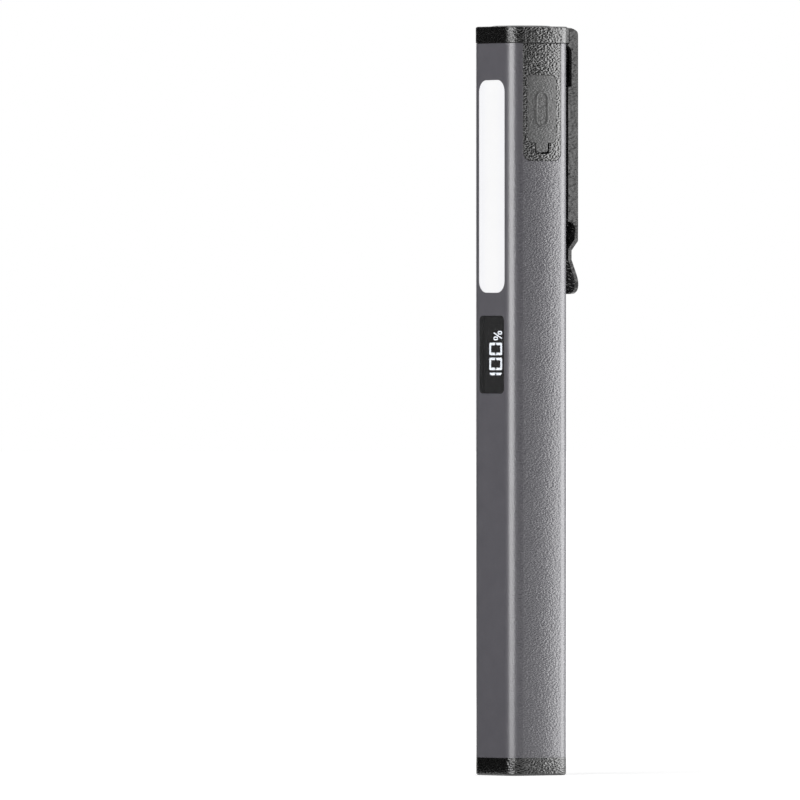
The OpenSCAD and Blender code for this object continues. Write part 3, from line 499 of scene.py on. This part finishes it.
def contact(bm, tip_x, z, side):
    """One contact: a strip with a round tip and a chamfered face."""
    loops = []
    for height, inset in [(-CONTACTS["foot"], 0), (CONTACTS["proud"] / 2, 0),
                          (CONTACTS["proud"], CONTACTS["chamfer"])]:
        half = CONTACTS["width"] / 2 - inset
        centre_x = tip_x - CONTACTS["width"] / 2
        tail_x = tip_x - CONTACTS["long"] + inset
        angles = [math.pi * i / CONTACTS["steps"] for i in range(CONTACTS["steps"] + 1)]
        outline = [(centre_x + half * math.sin(a), half * math.cos(a)) for a in angles]
        outline += [(tail_x, -half), (tail_x, half)]
        loops.append([bm.verts.new((x, side * (CONTACTS["face_y"] + height), z + across))
                      for x, across in outline])
    closed(bm, loops)


contacts = bmesh.new()
for side in (1, -1):
    for i in range(CONTACTS["count"]):
        from_middle = (i - (CONTACTS["count"] - 1) / 2) * CONTACTS["pitch"]
        contact(contacts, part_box("socket_insulator")[1].x - CONTACTS["setback"],
                port_z + from_middle, side)
piece("socket_contacts", contacts, "pin_gold", "light")

# Ring that a finger feels on the power button
piece("button_mark",
      raised_ring(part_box("power_button")[0].x, -1, half_w=1.0 * MM, half_h=1.01 * MM,
                  width=0.3 * MM, rise=0.16 * MM),
      "button_grey", "button")


# ---- Studio ----

def round_at(azimuth, distance, z):
    """A place round the object's axis; azimuth 0 is in front and 90 on the right."""
    a = math.radians(azimuth)
    return Vector((distance * math.sin(a), -distance * math.cos(a), z))


def lamp(name, place, aim, width, height, radiance):
    """A softbox that glows with a radiance, so that its power follows its size."""
    data = bpy.data.lights.new(name, "AREA")
    data.shape = "RECTANGLE"
    data.size, data.size_y = width, height
    data.energy = math.pi * width * height * radiance
    obj = placed(name, data)
    obj.location = place
    obj.rotation_euler = (Vector(aim) - Vector(place)).to_track_quat("-Z", "Y").to_euler()
    obj.visible_camera = False
    return obj


# Name, place, aim, width, height and radiance; the side strip stands close to the back
# right corner, where it lights the tube's side and the clip
MIDDLE = (0, 0, 0.08)
LAMPS = [
    ("key_softbox", round_at(23.5, 0.8, 0.09), MIDDLE, 0.68, 0.34, 6.3),
    ("front_softbox", round_at(0, 0.7, 0.75), MIDDLE, 0.6, 0.6, 2.6),
    ("side_strip", (0.01383, 0.01441, 0.085), (0.00676, 0.00734, 0.085), 0.0092, 0.26, 1.6),
    ("rim_softbox", round_at(165, 0.6, 0.1), MIDDLE, 0.2, 0.5, 2.4),
    ("top_softbox", (0.1, 0.1, 0.9), MIDDLE, 0.6, 0.6, 1.2),
    ("back_fill", round_at(225, 0.9, 0.5), MIDDLE, 0.7, 0.6, 1.2),
]
STRIP_SPREAD = math.radians(100)
lamps = {row[0]: lamp(*row) for row in LAMPS}
lamps["side_strip"].data.spread = STRIP_SPREAD


def seen_ray(tree):
    """1 for what the camera sees, also in gloss and through glass, and 0 for diffuse light."""
    path = tree.nodes.new("ShaderNodeLightPath")
    seen = path.outputs["Is Camera Ray"]
    for kind in ("Is Glossy Ray", "Is Transmission Ray"):
        seen = math_node(tree, "MAXIMUM", seen, path.outputs[kind])
    return seen


# The world: its strength as light, and as the white that is seen
WORLD_LIGHT, WORLD_SEEN = 0.18, 1.0
world = bpy.data.worlds.new("studio")
bpy.context.scene.world = world
world.use_nodes = True
sky = world.node_tree
background = sky.nodes["Background"]
background.inputs["Color"].default_value = (1, 1, 1, 1)
sky.links.new(between(sky, seen_ray(sky), WORLD_LIGHT, WORLD_SEEN, 0, 1),
              background.inputs["Strength"])

FLOOR_REACH = 20
FLOOR_TONE_SIZE = 0.05
# The floor's own white near the object and away from it, and the distances between which
# the one turns into the other
WHITE_NEAR, WHITE_FAR = 0.6, 1.0
NEAR, FAR = 0.1, 0.35


def floor_white():
    """Pale floor: partly its own white, partly lit, so that only shadows darken it."""
    mat, tree, shader, place = new_look("pale_floor")
    away = tree.nodes.new("ShaderNodeVectorMath")
    away.operation = "LENGTH"
    tree.links.new(place, away.inputs[0])
    own_white = between(tree, away.outputs["Value"], WHITE_NEAR, WHITE_FAR, NEAR, FAR)
    linked(tree, shader,
           Base_Color=tint(tree, place, FLOOR_TONE_SIZE, grey(0.68), grey(0.7)),
           Emission_Strength=math_node(tree, "MULTIPLY", seen_ray(tree), own_white))
    fixed(shader, Roughness=0.9, Specular_IOR_Level=0.0, Emission_Color=(1, 1, 1, 1))
    return mat


def flag_black():
    """Black flag, which only reflections see."""
    mat, tree, shader, place = new_look("black_flag")
    linked(tree, shader, Base_Color=tint(tree, place, FLOOR_TONE_SIZE, grey(0.002), grey(0.004)))
    fixed(shader, Roughness=1, Specular_IOR_Level=0)
    return mat


def flat(name, reach, mat):
    """A flat square that reaches this far each way, as part of the stage."""
    bm = bmesh.new()
    bmesh.ops.create_grid(bm, x_segments=1, y_segments=1, size=reach)
    mesh = bpy.data.meshes.new(name)
    bm.to_mesh(mesh)
    bm.free()
    obj = placed(name, mesh)
    mesh.materials.append(mat)
    return obj


def flag(name, centre, width, height, turn, mat):
    """A card that only reflections see."""
    obj = flat(name, 0.5, mat)
    obj.scale = (width, height, 1)
    obj.rotation_euler = turn
    obj.location = centre
    obj.visible_camera = False
    obj.visible_diffuse = False
    obj.visible_transmission = False
    obj.visible_shadow = False


flat("floor", FLOOR_REACH, floor_white())

# Upright flags that face the object: name, azimuth, distance and width
FLAGS = [("left_flag", -62, 0.75, 1.5), ("right_flag", 95, 0.75, 1.26),
         ("back_flag", 215, 1.1, 0.9)]
FLAG_Z, FLAG_HEIGHT = 0.3, 1.2
black = flag_black()
for name, azimuth, away, width in FLAGS:
    flag(name, round_at(azimuth, away, FLAG_Z), width, FLAG_HEIGHT,
         (math.radians(90), 0, math.radians(azimuth)), black)
# A flag that lies on the floor in front of the left side
flag("floor_flag", (-0.29, -0.354, 0.3 * MM), 0.62, 0.69, (0, 0, 0), black)


# ---- Camera: level, 53 degrees round from the front, the light right of the middle ----

AZIMUTH = math.radians(53)
DISTANCE = 4.0
SENSOR = 36              # millimetres
PICTURE = 0.1709         # metres that the picture spans at the object
AIM_Z = 0.08012          # height of the picture's middle
AIM_LEFT = 0.025865      # how far the picture's middle lies left of the tube's axis
CLIP_START, CLIP_END = 0.1, 100
camera = bpy.data.cameras.new("camera")
camera.sensor_width = SENSOR
camera.lens = SENSOR * DISTANCE / PICTURE
camera.clip_start, camera.clip_end = CLIP_START, CLIP_END
viewer = placed("camera", camera)
right = Vector((math.cos(AZIMUTH), math.sin(AZIMUTH), 0))
backwards = Vector((math.sin(AZIMUTH), -math.cos(AZIMUTH), 0))
viewer.location = Vector((0, 0, AIM_Z)) - AIM_LEFT * right + DISTANCE * backwards
viewer.rotation_euler = backwards.to_track_quat("Z", "Y").to_euler()
bpy.context.scene.camera = viewer
bpy.context.scene.view_settings.view_transform = "Standard"
